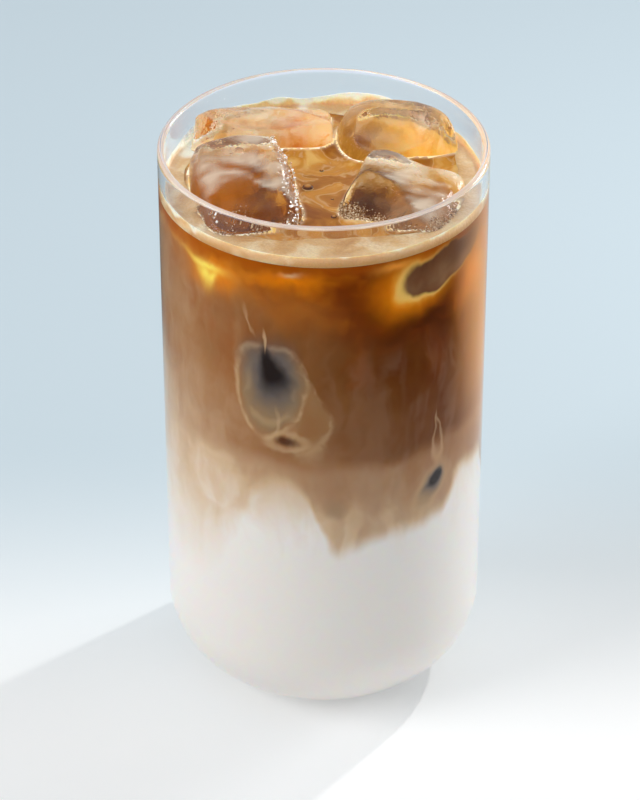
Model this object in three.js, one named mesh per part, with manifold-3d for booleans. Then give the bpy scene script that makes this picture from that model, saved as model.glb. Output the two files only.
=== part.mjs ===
// An iced latte: a tall straight tumbler of clear glass with a rounded foot, filled with milk, coffee
// and a ring of foam, and four half-melted blocks of ice that stand out of the drink.
// Millimetres, +Z up. The origin is the centre of the foot, on the table. The drinker's side faces -Y,
// and an angle round the glass is counted from that side, positive towards +X.
import * as THREE from "three";
import { mergeVertices } from "three/addons/utils/BufferGeometryUtils.js";
import Module from "manifold-3d";

const wasm = await Module();
wasm.setup();

// Driving dimensions of the glass
const GLASS_DIAMETER = 75;
const GLASS_HEIGHT = 139;
const WALL = 1.5;
const BASE = 3.5;
const FOOT_ROUNDING = 20;

// Driving dimensions of the drink: heights above the table, the rings of the surface between milk and
// coffee as shares of the radius, and the plumes in which the milk rises
const COFFEE_LEVEL = 129.6;
const MIX_LEVEL = 52;
const MIX_RINGS = [1, 0.85, 0.65, 0.4, 0];
const MILK_PLUMES = [
  { angle: -18, rise: 20, spread: 12 },
  { angle: 112, rise: 13, spread: 17 },
  { angle: -140, rise: 16, spread: 14 },
];

// The ring of foam: its height on the wall above the coffee, its depth there, and its width
const FOAM_CLIMB = 1.3;
const FOAM_DEPTH = 1.5;
const FOAM_EDGE = 0.5;
const FOAM_WIDTH = { least: 5.5, front: 4.5, waver: 1.2, lobes: 5, phase: 1 };

// The foam's upper side from the wall inwards, as shares of its width and of its climb
const FOAM_PROFILE = [
  [1, 1],
  [0.85, 0.5],
  [0.5, 0.3],
  [0.15, 0.25],
  [0, 0],
];

// The ice: full sizes, tilts in degrees about X, Y and Z, and the rounding that melting has left
const ICE_BLOCKS = [
  {
    name: "ice_front_left",
    place: [-17.8, -6, 124.2],
    size: [23.5, 35, 24],
    tilt: [11, -3, 10],
    rounding: 6,
  },
  {
    name: "ice_back_left",
    place: [-15.5, 21.4, 128.2],
    size: [34, 15, 15],
    tilt: [-20, 4, 2],
    rounding: 2.5,
  },
  {
    name: "ice_back_right",
    place: [18.3, 19.6, 125.4],
    size: [31, 21, 25],
    tilt: [-3, 4, 12],
    rounding: 8,
  },
  {
    name: "ice_front_right",
    place: [16.8, -8.9, 123.6],
    size: [25, 25, 23],
    tilt: [5, 13, -15],
    rounding: 4.5,
  },
];
const ICE_GRID = 7;
const ICE_WALL_GAP = 1.2;
const ICE_PRESS_DEPTH = 6;
const ICE_DENT = { depth: 0.5, spacing: 13 };

// How far neighbouring pieces stay apart, and how finely round things are cut
const GAP = 0.3;
const SAME_POINT = 0.001;
const SEGMENTS = 72;
const ROUNDING_STEPS = 8;
const RIM_STEPS = 4;

// Sizes that follow from the driving dimensions
const GLASS_RADIUS = GLASS_DIAMETER / 2;
const INNER_RADIUS = GLASS_RADIUS - WALL;
const FOOT_FLAT = GLASS_RADIUS - FOOT_ROUNDING;
const DRINK_RADIUS = INNER_RADIUS - GAP;
const FOAM_UNDER_WALL = COFFEE_LEVEL - FOAM_DEPTH;
const ICE_REACH = INNER_RADIUS - ICE_WALL_GAP;

const radians = THREE.MathUtils.degToRad;

// Points of a circular arc in the plane of radius and height, from one angle to another in degrees
function arc(centreRadius, centreHeight, radius, from, to, steps) {
  return Array.from({ length: steps + 1 }, (_, i) => {
    const angle = radians(from + ((to - from) * i) / steps);
    return [centreRadius + radius * Math.cos(angle), centreHeight + radius * Math.sin(angle)];
  });
}

// A body turned round +Z from rings, each a function of the angle that gives a radius and a height
function turned(rings) {
  const profile = rings.map((ring) => new THREE.Vector2(...ring(0)));
  const geometry = new THREE.LatheGeometry(profile, SEGMENTS);
  const position = geometry.getAttribute("position");
  for (let i = 0; i <= SEGMENTS; i++) {
    const angle = ((i % SEGMENTS) / SEGMENTS) * 2 * Math.PI;
    rings.forEach((ring, j) => {
      const [radius, height] = ring(angle);
      position.setXYZ(i * rings.length + j, radius * Math.sin(angle), height, radius * Math.cos(angle));
    });
  }
  return geometry.rotateX(Math.PI / 2);
}

// A ring that keeps its radius and height all the way round
const round = ([radius, height]) => () => [radius, height];

// A closed geometry as a solid that can be joined and cut
function solidOf(geometry) {
  const bare = geometry.clone();
  bare.deleteAttribute("normal");
  bare.deleteAttribute("uv");
  const merged = mergeVertices(bare, SAME_POINT);
  const corners = [...merged.index.array];
  const triVerts = corners.filter((_, i) => {
    const [a, b, c] = corners.slice(i - (i % 3), i - (i % 3) + 3);
    return a !== b && b !== c && c !== a;
  });
  return new wasm.Manifold(
    new wasm.Mesh({
      numProp: 3,
      vertProperties: merged.getAttribute("position").array,
      triVerts: new Uint32Array(triVerts),
    }),
  );
}

// A solid as a named mesh with its own finish
function meshOf(name, solid, material) {
  const { vertProperties, triVerts } = solid.getMesh();
  const geometry = new THREE.BufferGeometry();
  geometry.setAttribute("position", new THREE.BufferAttribute(vertProperties, 3));
  geometry.setIndex(new THREE.BufferAttribute(triVerts, 1));
  geometry.computeVertexNormals();
  const mesh = new THREE.Mesh(geometry, material);
  mesh.name = name;
  return mesh;
}

// The tumbler: flat foot, rounded corner, straight wall, fire-polished rim, and the hollow inside
function glassSolid() {
  const rim = WALL / 2;
  const outerCorner = arc(FOOT_FLAT, FOOT_ROUNDING, FOOT_ROUNDING, -90, 0, ROUNDING_STEPS);
  const rimEdge = arc(GLASS_RADIUS - rim, GLASS_HEIGHT - rim, rim, 0, 180, RIM_STEPS);
  const profile = [[0, 0], ...outerCorner, ...rimEdge, ...hollowProfile(0).reverse()];
  return solidOf(turned(profile.map(round)));
}

// The glass's inside from the middle of its floor to the top of the rounded corner, kept away by a gap
function hollowProfile(gap) {
  const cornerRadius = INNER_RADIUS - FOOT_FLAT;
  const corner = arc(FOOT_FLAT, BASE + cornerRadius, cornerRadius - gap, -90, 0, ROUNDING_STEPS);
  return [[0, BASE + gap], ...corner];
}

// Where milk and coffee meet: a level with plumes of milk that rise along the wall
function mixHeight(angle, radius) {
  const degrees = THREE.MathUtils.radToDeg(angle);
  const swell = MILK_PLUMES.reduce((sum, plume) => {
    const away = THREE.MathUtils.euclideanModulo(degrees - plume.angle + 180, 360) - 180;
    return sum + plume.rise * Math.exp(-((away / plume.spread) ** 2));
  }, 0);
  return MIX_LEVEL + swell * (radius / DRINK_RADIUS) ** 2;
}

// The milk: it fills the foot of the glass and ends in plumes
function milkSolid() {
  const top = MIX_RINGS.map((share) => (angle) => {
    const radius = DRINK_RADIUS * share;
    return [radius, mixHeight(angle, radius)];
  });
  return solidOf(turned([...hollowProfile(GAP).map(round), ...top]));
}

// How far out from the axis the foam's ragged inner edge lies
function foamInner(angle) {
  const { least, front, waver, lobes, phase } = FOAM_WIDTH;
  const towardsFront = Math.max(0, Math.cos(angle)) ** 2;
  return DRINK_RADIUS - least - front * towardsFront - waver * Math.sin(lobes * angle + phase);
}

// The coffee: from the plumes up to its open level, lower under the foam
function coffeeSolid() {
  const rings = [
    round([0, MIX_LEVEL]),
    round([DRINK_RADIUS, MIX_LEVEL]),
    round([DRINK_RADIUS, FOAM_UNDER_WALL - GAP]),
    (angle) => [foamInner(angle), COFFEE_LEVEL - FOAM_EDGE - GAP],
    (angle) => [foamInner(angle) - FOAM_EDGE, COFFEE_LEVEL],
    round([0, COFFEE_LEVEL]),
  ];
  const wider = INNER_RADIUS / DRINK_RADIUS;
  return solidOf(turned(rings)).subtract(milkSolid().scale([wider, wider, 1]).translate([0, 0, GAP]));
}

// The foam: a ragged ring that climbs the wall and thins towards the open coffee
function foamSolid() {
  const edge = (angle) => [foamInner(angle), COFFEE_LEVEL - FOAM_EDGE];
  const top = FOAM_PROFILE.map(([share, climb]) => (angle) => {
    const inner = foamInner(angle);
    return [inner + (DRINK_RADIUS - inner) * share, COFFEE_LEVEL + FOAM_CLIMB * climb];
  });
  return solidOf(turned([edge, round([DRINK_RADIUS, FOAM_UNDER_WALL]), ...top, edge]));
}

// A block of ice: a box with melted edges, shallow dents and a side pressed to the curve of the wall.
// It can be grown on all sides, to cut the room that it takes in the drink.
function iceGeometry({ size, tilt, place, rounding }, grow = 0) {
  const half = new THREE.Vector3(...size).multiplyScalar(0.5).addScalar(grow);
  const soft = rounding + grow;
  const core = half.clone().subScalar(soft);
  const geometry = new THREE.BoxGeometry(...half.clone().multiplyScalar(2), ICE_GRID, ICE_GRID, ICE_GRID);
  const position = geometry.getAttribute("position");
  const turn = new THREE.Euler(...tilt.map(radians), "ZYX");
  const wave = (2 * Math.PI) / ICE_DENT.spacing;
  const point = new THREE.Vector3();
  const inside = new THREE.Vector3();
  const outwards = new THREE.Vector3();
  for (let i = 0; i < position.count; i++) {
    point.fromBufferAttribute(position, i);
    inside.copy(point).clamp(core.clone().negate(), core);
    outwards.copy(point).sub(inside).normalize();
    const dent = Math.sin(wave * inside.x + place[0]) * Math.sin(wave * (inside.y + inside.z));
    point.copy(inside).addScaledVector(outwards, soft + ICE_DENT.depth * dent).applyEuler(turn);
    point.add(new THREE.Vector3(...place));
    pressInside(point, ICE_REACH + grow);
    position.setXYZ(i, point.x, point.y, point.z);
  }
  return geometry;
}

// Draws a point that lies near the wall in, so that none is further from the axis than the reach
function pressInside(point, reach) {
  const start = reach - ICE_PRESS_DEPTH;
  const radius = Math.hypot(point.x, point.y);
  if (radius <= start) return;
  const pressed = start + ICE_PRESS_DEPTH * Math.tanh((radius - start) / ICE_PRESS_DEPTH);
  point.x *= pressed / radius;
  point.y *= pressed / radius;
}

// Takes the room of every block of ice out of a part of the drink
function cutRoundIce(solid) {
  return ICE_BLOCKS.reduce((left, block) => left.subtract(solidOf(iceGeometry(block, GAP))), solid);
}

const clearGlass = new THREE.MeshStandardMaterial({
  color: 0xeef3f5,
  roughness: 0.03,
  metalness: 0,
  transparent: true,
  opacity: 0.3,
});
const milkWhite = new THREE.MeshStandardMaterial({ color: 0xe4e0d8, roughness: 0.35, metalness: 0 });
const coffeeBrown = new THREE.MeshStandardMaterial({ color: 0x7a4a26, roughness: 0.2, metalness: 0 });
const foamTan = new THREE.MeshStandardMaterial({ color: 0xd9b284, roughness: 0.6, metalness: 0 });
const clearIce = new THREE.MeshStandardMaterial({
  color: 0xe9dccb,
  roughness: 0.06,
  metalness: 0,
  transparent: true,
  opacity: 0.45,
});

const latte = new THREE.Group();
latte.add(
  meshOf("glass", glassSolid(), clearGlass),
  meshOf("milk", milkSolid(), milkWhite),
  meshOf("coffee", cutRoundIce(coffeeSolid()), coffeeBrown),
  meshOf("foam", cutRoundIce(foamSolid()), foamTan),
  ...ICE_BLOCKS.map((block) => meshOf(block.name, solidOf(iceGeometry(block)), clearIce)),
);

export default latte;
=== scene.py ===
# An iced latte in a tall clear glass: milk at the foot, coffee above it, foam and half-melted ice on top.
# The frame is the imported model, in metres, +Z up. The drinker's side faces -Y, and an angle round the
# glass is counted from that side in degrees, positive towards +X.
import math
import random

import bmesh
import bpy
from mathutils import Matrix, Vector, noise
from mathutils.bvhtree import BVHTree


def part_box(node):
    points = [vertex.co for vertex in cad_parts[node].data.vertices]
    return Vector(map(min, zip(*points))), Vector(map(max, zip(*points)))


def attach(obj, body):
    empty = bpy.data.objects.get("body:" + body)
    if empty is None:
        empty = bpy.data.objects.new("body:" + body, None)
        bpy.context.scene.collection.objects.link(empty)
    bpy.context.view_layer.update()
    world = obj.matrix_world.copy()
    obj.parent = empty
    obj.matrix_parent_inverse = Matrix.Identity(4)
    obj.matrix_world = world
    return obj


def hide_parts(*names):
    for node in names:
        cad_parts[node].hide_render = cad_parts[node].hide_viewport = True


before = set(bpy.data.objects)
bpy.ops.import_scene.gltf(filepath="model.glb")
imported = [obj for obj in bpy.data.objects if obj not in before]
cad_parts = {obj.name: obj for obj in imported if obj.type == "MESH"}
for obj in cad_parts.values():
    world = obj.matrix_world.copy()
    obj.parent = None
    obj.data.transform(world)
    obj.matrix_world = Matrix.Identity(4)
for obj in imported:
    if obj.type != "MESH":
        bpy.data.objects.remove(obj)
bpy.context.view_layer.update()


# The glass
# A tall straight tumbler of clear soda-lime glass, blown in a mould. Its foot is rounded into the wall,
# and the rim is melted smooth in a flame.
MM = 0.001
GLASS_WALL = 1.5 * MM
GLASS_BASE = 3.5 * MM
FOOT_ROUNDING = 20 * MM
GLASS_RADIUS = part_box("glass")[1].x
GLASS_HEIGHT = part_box("glass")[1].z
INNER_RADIUS = GLASS_RADIUS - GLASS_WALL
FOOT_FLAT = GLASS_RADIUS - FOOT_ROUNDING
SAME_POINT = 0.001 * MM
GLASS_STEPS = 180


def arc(centre, radius, start, end, steps):
    """Points of an arc in the plane of radius and height, between two angles in degrees."""
    angles = [math.radians(start + (end - start) * i / steps) for i in range(steps + 1)]
    return [(centre[0] + radius * math.cos(a), centre[1] + radius * math.sin(a)) for a in angles]


def turned(outline, steps):
    """A body of revolution about Z from an outline of radius and height."""
    bm = bmesh.new()
    verts = [bm.verts.new((radius, 0, height)) for radius, height in outline]
    edges = [bm.edges.new(pair) for pair in zip(verts, verts[1:])]
    bmesh.ops.spin(
        bm, geom=verts + edges, cent=(0, 0, 0), axis=(0, 0, 1), angle=2 * math.pi, steps=steps, use_merge=True
    )
    bmesh.ops.remove_doubles(bm, verts=bm.verts, dist=SAME_POINT)
    bmesh.ops.recalc_face_normals(bm, faces=bm.faces)
    return bm


def piece(name, bm, slot, *nodes):
    """A finished piece of the drink, which rides on its one body and may stand for CAD nodes."""
    mesh = bpy.data.meshes.new(name)
    bm.to_mesh(mesh)
    bm.free()
    mesh.shade_smooth()
    made = bpy.data.objects.new(name, mesh)
    bpy.context.scene.collection.objects.link(made)
    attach(made, "root")
    if nodes:
        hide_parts(*nodes)
    return made


def paint(red, green, blue):
    """A colour as the eye reads it, from 0 to 255, as the light that a surface gives back."""
    shares = [channel / 255 for channel in (red, green, blue)]
    return (*[s / 12.92 if s <= 0.04045 else ((s + 0.055) / 1.055) ** 2.4 for s in shares], 1)


def feed(socket, value):
    """Sets a socket to a value, or links it to the field or socket that gives it."""
    if isinstance(value, Field):
        value = value.socket
    if isinstance(value, bpy.types.NodeSocket):
        socket.id_data.links.new(value, socket)
    else:
        socket.default_value = value


def add(tree, kind, inputs, **settings):
    """A new shader node with its settings, and its inputs by name or number."""
    made = tree.nodes.new(kind)
    for name, value in settings.items():
        setattr(made, name, value)
    for name, value in inputs.items():
        feed(made.inputs[name], value)
    return made


class Field:
    """A number that changes over a surface. Arithmetic on fields makes Math nodes."""

    def __init__(self, socket):
        self.socket = socket
        self.tree = socket.id_data

    def math(self, operation, *others):
        made = add(self.tree, "ShaderNodeMath", dict(enumerate((self, *others))), operation=operation)
        return Field(made.outputs[0])

    def __add__(self, other):
        return self.math("ADD", other)

    def __sub__(self, other):
        return self.math("SUBTRACT", other)

    def __mul__(self, other):
        return self.math("MULTIPLY", other)

    def __truediv__(self, other):
        return self.math("DIVIDE", other)

    def __pow__(self, other):
        return self.math("POWER", other)

    def between(self, low, high):
        """0 up to low and 1 from high on, with a soft step between."""
        limits = {"Value": self, "From Min": low, "From Max": high}
        made = add(self.tree, "ShaderNodeMapRange", limits, interpolation_type="SMOOTHSTEP")
        return Field(made.outputs["Result"])

    def spread(self, start, end):
        """The range from 0 to 1 as a straight range from start to end."""
        limits = {"Value": self, "To Min": start, "To Max": end}
        return Field(add(self.tree, "ShaderNodeMapRange", limits).outputs["Result"])


def mixed(share, first, second):
    """The second colour over the first by a share."""
    made = add(share.tree, "ShaderNodeMix", {0: share, 6: first, 7: second}, data_type="RGBA")
    return made.outputs[2]


def grain(tree, position, size, detail=2.0, stretch=(1, 1, 1), kind="Fac"):
    """Cloudy noise with features of about this size in the position's own unit."""
    scales = {"Vector": position, "Scale": tuple(1 / (size * s) for s in stretch)}
    placed = add(tree, "ShaderNodeMapping", scales)
    made = add(tree, "ShaderNodeTexNoise", {"Vector": placed.outputs[0], "Scale": 1.0, "Detail": detail})
    return Field(made.outputs["Fac"]) if kind == "Fac" else made.outputs["Color"]


def new_material(name):
    """A material with a Principled shader, and the object's own coordinates."""
    material = bpy.data.materials.new(name)
    material.use_nodes = True
    tree = material.node_tree
    shader = tree.nodes["Principled BSDF"]
    position = add(tree, "ShaderNodeTexCoord", {}).outputs["Object"]
    return material, tree, shader, position


def let_light_through(tree, shader):
    """Light from lamps and from soft bounces passes clear things unbent, and sight is bent by them."""
    path = add(tree, "ShaderNodeLightPath", {}).outputs
    clear = add(tree, "ShaderNodeBsdfTransparent", {}).outputs[0]
    bounces = add(tree, "ShaderNodeMixShader", {0: path["Is Diffuse Ray"], 1: shader.outputs[0], 2: clear})
    lamps = add(tree, "ShaderNodeMixShader", {0: path["Is Shadow Ray"], 1: bounces.outputs[0], 2: clear})
    feed(tree.nodes["Material Output"].inputs["Surface"], lamps.outputs[0])


def roughen(tree, shader, height, depth):
    """Relief on a shader's surface from a field of heights, with the depth of its full range."""
    bump = add(tree, "ShaderNodeBump", {"Height": height, "Distance": depth, "Strength": 1.0})
    feed(shader.inputs["Normal"], bump.outputs["Normal"])


def clear_glass():
    """Soda-lime glass with the faint waves of blown ware, a little handling haze and a pale, glowing lip of
    painted highlight.
    """
    material, tree, shader, position = new_material("clear_glass")
    height = Field(add(tree, "ShaderNodeSeparateXYZ", {0: position}).outputs[2])
    # Painted highlight: the lip is tinted pale and glows a little, for the light that runs round the rim.
    lip_highlight = height.between(GLASS_HEIGHT - 0.9 * MM, GLASS_HEIGHT - 0.25 * MM)
    feed(shader.inputs["Base Color"], mixed(lip_highlight, paint(250, 251, 252), paint(176, 182, 198)))
    feed(shader.inputs["Emission Color"], mixed(lip_highlight, paint(0, 0, 0), paint(240, 238, 246)))
    shader.inputs["Emission Strength"].default_value = 0.36
    shader.inputs["IOR"].default_value = 1.5
    shader.inputs["Transmission Weight"].default_value = 1.0
    shader.inputs["Specular Tint"].default_value = (0.45, 0.45, 0.47, 1)
    haze = grain(tree, position, 14 * MM, 3.0)
    feed(shader.inputs["Roughness"], haze.between(0.45, 0.8).spread(0.0, 0.025))
    roughen(tree, shader, grain(tree, position, 30 * MM, 1.0, (1, 1, 2)), 0.12 * MM)
    let_light_through(tree, shader)
    return material


rim = GLASS_WALL / 2
rim_centre = (GLASS_RADIUS - rim, GLASS_HEIGHT - rim)
inner_corner = INNER_RADIUS - FOOT_FLAT
glass_outline = [
    (0, 0),
    *arc((FOOT_FLAT, FOOT_ROUNDING), FOOT_ROUNDING, -90, 0, 24),
    (GLASS_RADIUS, FOOT_ROUNDING + 2 * MM),
    (GLASS_RADIUS, GLASS_HEIGHT - 2 * MM),
    *arc(rim_centre, rim, 0, 180, 12),
    (INNER_RADIUS, GLASS_HEIGHT - 2 * MM),
    (INNER_RADIUS, GLASS_BASE + inner_corner + 2 * MM),
    *arc((FOOT_FLAT, GLASS_BASE + inner_corner), inner_corner, 0, -90, 24),
    (0, GLASS_BASE),
]
glass = piece("glass_tumbler", turned(glass_outline, GLASS_STEPS), "clear_glass", "glass")
glass.data.materials.append(clear_glass())


# The ice
# Four blocks of clear frozen water that stand out of the drink. Melting has rounded their edges and
# left shallow hollows and ripples, and the coffee holds them in place.
ICE_NODES = ("ice_front_left", "ice_back_left", "ice_back_right", "ice_front_right")
MELT_SWELL = 0.5 * MM
MELT_RIPPLE = 0.1 * MM
MELT_SWELL_SIZE = 9 * MM
MELT_RIPPLE_SIZE = 2.6 * MM
FLAT_ENOUGH = math.radians(40)
SQUARE_ENOUGH = math.radians(70)
DENTS = 16
DENT_RADII = (6 * MM, 13 * MM)
DENT_DEPTHS = (0.25 * MM, 0.8 * MM)
ICE_HOLLOWS = {
    "ice_front_left": ((-17, -26.1, 155.2, 25), (-19, -5.3, 175.7, 40)),
    "ice_front_right": ((7, -23.2, 148.8, 20), (20, -6, 170, 35)),
    "ice_back_right": ((16, 6, 147, 16),),
    "ice_back_left": ((-12, 14, 170, 36),),
}


def subdivided(name, bm, levels):
    """The mesh smoothed by a subdivision surface."""
    mesh = bpy.data.meshes.new(name)
    bm.to_mesh(mesh)
    bm.free()
    rough = bpy.data.objects.new(name, mesh)
    bpy.context.scene.collection.objects.link(rough)
    smooth = rough.modifiers.new("smooth", "SUBSURF")
    smooth.levels = levels
    smooth.render_levels = levels
    finished = rough.evaluated_get(bpy.context.evaluated_depsgraph_get()).to_mesh()
    bm = bmesh.new()
    bm.from_mesh(finished)
    bpy.data.objects.remove(rough)
    return bm


def melted_block(node):
    """A block of ice from its CAD solid, with the hollows, swells and ripples of melting."""
    bm = bmesh.new()
    bm.from_mesh(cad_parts[node].data)
    bmesh.ops.remove_doubles(bm, verts=bm.verts, dist=10 * SAME_POINT)
    bmesh.ops.join_triangles(
        bm, faces=bm.faces, angle_face_threshold=FLAT_ENOUGH, angle_shape_threshold=SQUARE_ENOUGH
    )
    bm = subdivided(node, bm, 2)
    bm.verts.ensure_lookup_table()
    chance = random.Random(node)
    hollows = [(Vector(hollow[:3]) * MM, hollow[3] * MM) for hollow in ICE_HOLLOWS[node]]
    for _ in range(DENTS):
        vert = chance.choice(bm.verts)
        radius = chance.uniform(*DENT_RADII)
        hollows.append((vert.co + vert.normal * (radius - chance.uniform(*DENT_DEPTHS)), radius))
    for centre, radius in hollows:
        for vert in bm.verts:
            away = vert.co - centre
            if away.length < radius:
                vert.co = centre + away * (radius / away.length)
    bm.normal_update()
    for vert in bm.verts:
        swell = noise.noise(vert.co / MELT_SWELL_SIZE) * MELT_SWELL
        ripple = noise.noise(vert.co / MELT_RIPPLE_SIZE) * MELT_RIPPLE
        vert.co += vert.normal * (swell + ripple)
    return bm


def clear_ice():
    """Wet clear ice: fine ripples, and slightly duller where it is half frozen through."""
    material, tree, shader, position = new_material("clear_ice")
    shader.inputs["Base Color"].default_value = paint(252, 250, 246)
    shader.inputs["IOR"].default_value = 1.31
    shader.inputs["Transmission Weight"].default_value = 1.0
    dull = grain(tree, position, 7 * MM, 3.0)
    feed(shader.inputs["Roughness"], dull.between(0.5, 0.75).spread(0.0, 0.12))
    ripples = grain(tree, position, 2.2 * MM, 2.0) + grain(tree, position, 0.7 * MM, 1.0) * 0.25
    roughen(tree, shader, ripples, 0.25 * MM)
    let_light_through(tree, shader)
    return material


ice_material = clear_ice()
ice_pieces = []
for ice_node in ICE_NODES:
    block = piece(ice_node + "_block", melted_block(ice_node), "ice", ice_node)
    block.data.materials.append(ice_material)
    ice_pieces.append(block)


# The melt film
# A thin film of milky meltwater, partly a painted reflection of the sky, that lies on the upper faces of the
# ice in streaks, and is stained with coffee where the ice stands highest.
FILM_LIFT = 0.05 * MM
FILM_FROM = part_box("coffee")[1].z + 0.6 * MM
FILM_STREAK = Vector((7, 3.2, 5)) * MM
FILM_SHARE = {"ice_front_left": 0.9, "ice_front_right": 0.9, "ice_back_left": 0.45, "ice_back_right": 0.3}
COFFEE_STAINS = {
    "ice_front_left": (-26.7, 3.5, 137, 6),
    "ice_front_right": (14, 4.5, 137, 4.5),
    "ice_back_left": (-14, 15, 137, 4.5),
    "ice_back_right": (21.7, 21, 138, 7),
}
BARE_FACETS = ("ice_front_left", "ice_front_right")


def upper_film_and_sheen(block, strength, bare_hollow, coffee_stain):
    """The upper faces of a block, lifted a little, with how thick the film and its painted sheen are, and how
    stained.
    """
    bm = bmesh.new()
    bm.from_mesh(block.data)
    bm.normal_update()
    bare = [face for face in bm.faces if face.normal.z < 0.2 or face.calc_center_median().z < FILM_FROM]
    bmesh.ops.delete(bm, geom=bare, context="FACES")
    thickness = bm.verts.layers.float.new("film")
    stain = bm.verts.layers.float.new("stain")
    for vert in bm.verts:
        streak = noise.fractal(Vector(a / b for a, b in zip(vert.co, FILM_STREAK)), 0.8, 2.0, 3)
        # Painted sheen: the film is thickest where a face looks up at the sky.
        level = min(1, max(0, (vert.normal.z - 0.55) / 0.35))
        above = min(1, max(0, (vert.co.z - FILM_FROM) / (2 * MM)))
        if bare_hollow:
            beyond = (vert.co - Vector(bare_hollow[:3]) * MM).length - bare_hollow[3] * MM
            above *= min(1, max(0.08, (beyond - 0.3 * MM) / (0.5 * MM)))
        from_stain = (vert.co - Vector(coffee_stain[:3]) * MM).length / (coffee_stain[3] * MM)
        vert[stain] = math.exp(-from_stain ** 2) * min(1, max(0, 0.75 + 0.9 * streak))
        film = strength * above * min(1, max(0, level * (0.5 + 0.9 * streak)))
        vert[thickness] = max(film, vert[stain])
        vert.co += vert.normal * FILM_LIFT
    return bm


def milky_film_and_sheen():
    """Meltwater clouded with milk or coffee, its pale colour partly a painted sheen: wet, and clear where it
    is thin.
    """
    material, tree, shader, _ = new_material("milky_film_and_sheen")
    stain = Field(add(tree, "ShaderNodeAttribute", {}, attribute_name="stain").outputs["Fac"])
    feed(shader.inputs["Base Color"], mixed(stain, paint(255, 238, 214), paint(112, 60, 24)))
    shader.inputs["Roughness"].default_value = 0.22
    thickness = add(tree, "ShaderNodeAttribute", {}, attribute_name="film").outputs["Fac"]
    feed(shader.inputs["Alpha"], Field(thickness).spread(0.0, 0.66))
    return material


film_material = milky_film_and_sheen()
for ice_node, block in zip(ICE_NODES, ice_pieces):
    facet = ICE_HOLLOWS[ice_node][0] if ice_node in BARE_FACETS else None
    film_mesh = upper_film_and_sheen(block, FILM_SHARE[ice_node], facet, COFFEE_STAINS[ice_node])
    film = piece(ice_node + "_film", film_mesh, "milk")
    film.data.materials.append(film_material)


# The drink
# Cold milk with coffee poured over it. They meet in plumes and swirls along the wall, and sunken ice
# shows dark where it lies against the glass. It wets the glass all round and closes in on the ice.
DRINK_RADIUS = INNER_RADIUS + 0.1 * MM
DRINK_FLOOR = GLASS_BASE - 0.1 * MM
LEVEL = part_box("coffee")[1].z
ICE_BITE = 0.2 * MM
DRINK_STEPS = 192
SURFACE_RINGS = 60
WALL_RINGS = 14
MENISCUS_RISE = 0.5 * MM
MENISCUS_REACH = 1.3 * MM
SHORE_REACH = 1.0 * MM


def nearest_ice(blocks):
    """A search tree of all the blocks, to find how near the ice is."""
    bm = bmesh.new()
    for block in blocks:
        bm.from_mesh(block.data)
    tree = BVHTree.FromBMesh(bm)
    bm.free()
    return tree


def ice_cutter(block):
    """The room that a block takes in the drink, a little smaller than the block itself."""
    bm = bmesh.new()
    bm.from_mesh(block.data)
    bm.normal_update()
    for vert in bm.verts:
        vert.co -= vert.normal * ICE_BITE
    mesh = bpy.data.meshes.new("room_for_ice")
    bm.to_mesh(mesh)
    bm.free()
    cutter = bpy.data.objects.new("room_for_ice", mesh)
    bpy.context.scene.collection.objects.link(cutter)
    return cutter


def cut_round_ice(made):
    """Takes the room of the ice out of a piece."""
    cutters = [ice_cutter(block) for block in ice_pieces]
    for cutter in cutters:
        cut = made.modifiers.new("room", "BOOLEAN")
        cut.operation = "DIFFERENCE"
        cut.solver = "MANIFOLD"
        cut.object = cutter
    carved = bpy.data.meshes.new_from_object(made.evaluated_get(bpy.context.evaluated_depsgraph_get()))
    made.modifiers.clear()
    made.data = carved
    carved.materials.clear()
    bm = bmesh.new()
    bm.from_mesh(carved)
    bmesh.ops.remove_doubles(bm, verts=bm.verts, dist=SAME_POINT)
    bmesh.ops.dissolve_degenerate(bm, edges=bm.edges, dist=SAME_POINT)
    bm.to_mesh(carved)
    bm.free()
    carved.validate()
    for cutter in cutters:
        bpy.data.objects.remove(cutter)


drink_corner = DRINK_RADIUS - FOOT_FLAT
corner_top = DRINK_FLOOR + drink_corner
drink_outline = [
    (0, DRINK_FLOOR),
    *arc((FOOT_FLAT, corner_top), drink_corner, -90, 0, 16),
    *[(DRINK_RADIUS, corner_top + (LEVEL - corner_top) * (i + 1) / WALL_RINGS) for i in range(WALL_RINGS)],
    *[(DRINK_RADIUS * (1 - (i + 1) / SURFACE_RINGS), LEVEL) for i in range(SURFACE_RINGS)],
]
ice_tree = nearest_ice(ice_pieces)
drink_mesh = turned(drink_outline, DRINK_STEPS)
for vert in drink_mesh.verts:
    if vert.co.z > LEVEL - SAME_POINT and vert.co.xy.length < DRINK_RADIUS - SAME_POINT:
        away = ice_tree.find_nearest(vert.co)[3]
        calm = noise.noise(vert.co / (11 * MM)) * 0.2 * MM
        vert.co.z += calm + MENISCUS_RISE * math.exp(-away / MENISCUS_REACH)
drink = piece("latte", drink_mesh, "coffee", "milk", "coffee")
cut_round_ice(drink)
shore = drink.data.attributes.new("shore", "FLOAT", "POINT")
for vert in drink.data.vertices:
    away = ice_tree.find_nearest(vert.co)[3]
    shore.data[vert.index].value = math.exp(-away / SHORE_REACH)

WALL_SPOT_INPUTS = ("Angle", "Height", "Half Width", "Half Length", "Lean", "Taper")


def new_group(name, inputs, outputs):
    """An empty shader node group with sockets by name, and its input and output nodes."""
    group = bpy.data.node_groups.new(name, "ShaderNodeTree")
    for socket, kind in inputs.items():
        group.interface.new_socket(name=socket, in_out="INPUT", socket_type="NodeSocket" + kind)
    for socket, kind in outputs.items():
        group.interface.new_socket(name=socket, in_out="OUTPUT", socket_type="NodeSocket" + kind)
    return group, add(group, "NodeGroupInput", {}).outputs, add(group, "NodeGroupOutput", {}).inputs


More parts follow.
